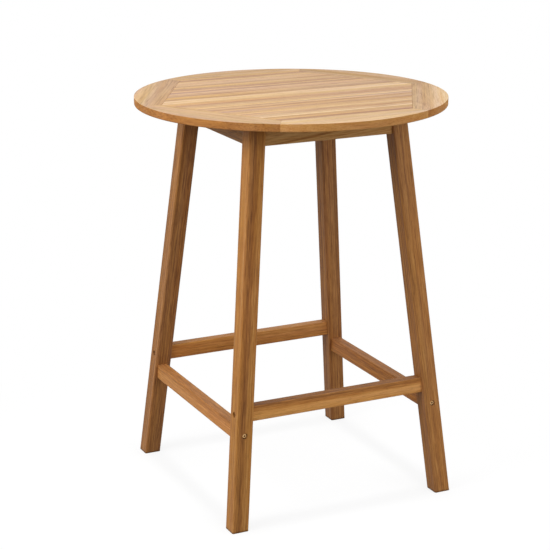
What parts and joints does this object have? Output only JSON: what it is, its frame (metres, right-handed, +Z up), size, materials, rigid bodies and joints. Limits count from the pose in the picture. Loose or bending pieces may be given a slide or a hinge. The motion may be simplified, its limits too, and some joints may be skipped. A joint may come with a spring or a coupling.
{
  "type": "outdoor bar table",
  "caption": "Round outdoor bar table: a segmented ring and slatted wooden top on splayed square legs, held by aprons and bolted stretchers.",
  "frame": {"origin": "on the floor, under the middle of the round top", "axes": "+Z up, slats along X, front is -Y"},
  "size_m": [0.8, 0.8, 1.03],
  "materials": {
    "top_slats": "oiled, fine sanded",
    "top_ring": "oiled, fine sanded",
    "legs": "oiled",
    "rails": "oiled",
    "inner_wood": "sawn and planed, oiled",
    "steel": "zinc plated"
  },
  "bodies": {
    "root": {"ring_segment_1": "top_ring", "ring_segment_2": "top_ring", "ring_segment_3": "top_ring", "ring_segment_4": "top_ring", "ring_segment_5": "top_ring", "ring_segment_6": "top_ring", "slat_1": "top_slats", "slat_2": "top_slats", "slat_3": "top_slats", "slat_4": "top_slats", "slat_5": "top_slats", "slat_6": "top_slats", "slat_7": "top_slats", "slat_8": "top_slats", "slat_9": "top_slats", "batten_right": "inner_wood", "batten_left": "inner_wood", "leg_back_right": "legs", "leg_back_left": "legs", "leg_front_left": "legs", "leg_front_right": "legs", "apron_back": "rails", "apron_left": "rails", "apron_front": "rails", "apron_right": "rails", "stretcher_back": "rails", "stretcher_left": "rails", "stretcher_front": "rails", "stretcher_right": "rails", "corner_block_back_right": "inner_wood", "corner_block_back_left": "inner_wood", "corner_block_front_left": "inner_wood", "corner_block_front_right": "inner_wood", "stretcher_dowels": "inner_wood", "ring_splines": "inner_wood", "stretcher_bolts": "steel", "stretcher_washers": "steel", "barrel_nuts": "steel", "hanger_bolts": "steel", "hanger_washers": "steel", "hanger_nuts": "steel", "block_screws": "steel", "top_screws": "steel", "batten_screws": "steel"}
  },
  "joints": []
}
